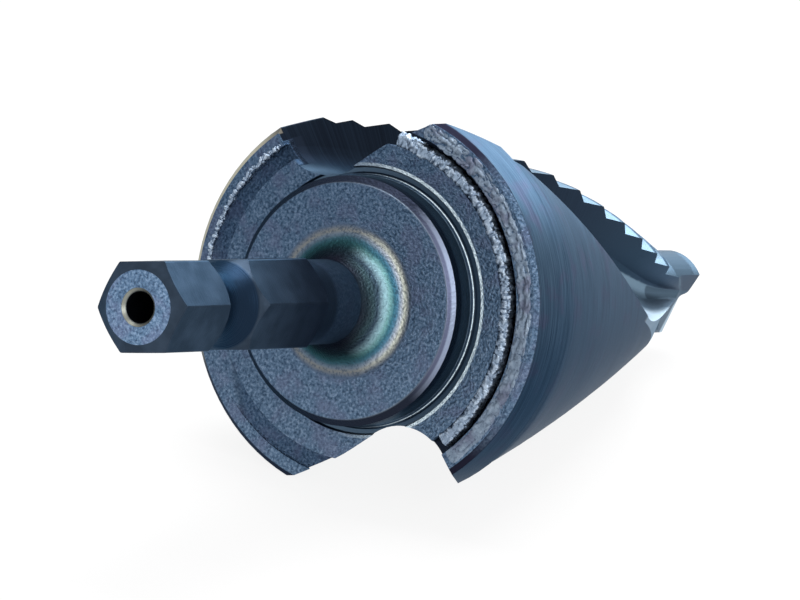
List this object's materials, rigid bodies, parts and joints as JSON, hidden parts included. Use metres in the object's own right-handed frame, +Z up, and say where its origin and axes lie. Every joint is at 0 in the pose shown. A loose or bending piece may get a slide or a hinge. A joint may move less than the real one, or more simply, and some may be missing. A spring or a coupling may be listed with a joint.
{
  "type": "step drill",
  "caption": "Conical step drill with spiral flutes, a split pilot point and a grooved hex quick-change shank, for boring stepped hole sizes in sheet metal.",
  "frame": {"origin": "centre of the bounding box's bottom face, on the table that the drill lies on", "axes": "+Z up from the table; +X towards the drill's point, level with the table, so the drill's own axis dips a little below +X; the drill lies over one flute"},
  "size_m": [0.0802, 0.0288, 0.0278],
  "materials": {
    "tool_steel": "ground tool steel with a blue-grey heat tint; dull blasted back faces"
  },
  "bodies": {
    "root": {"step_drill": "tool_steel"}
  },
  "joints": []
}
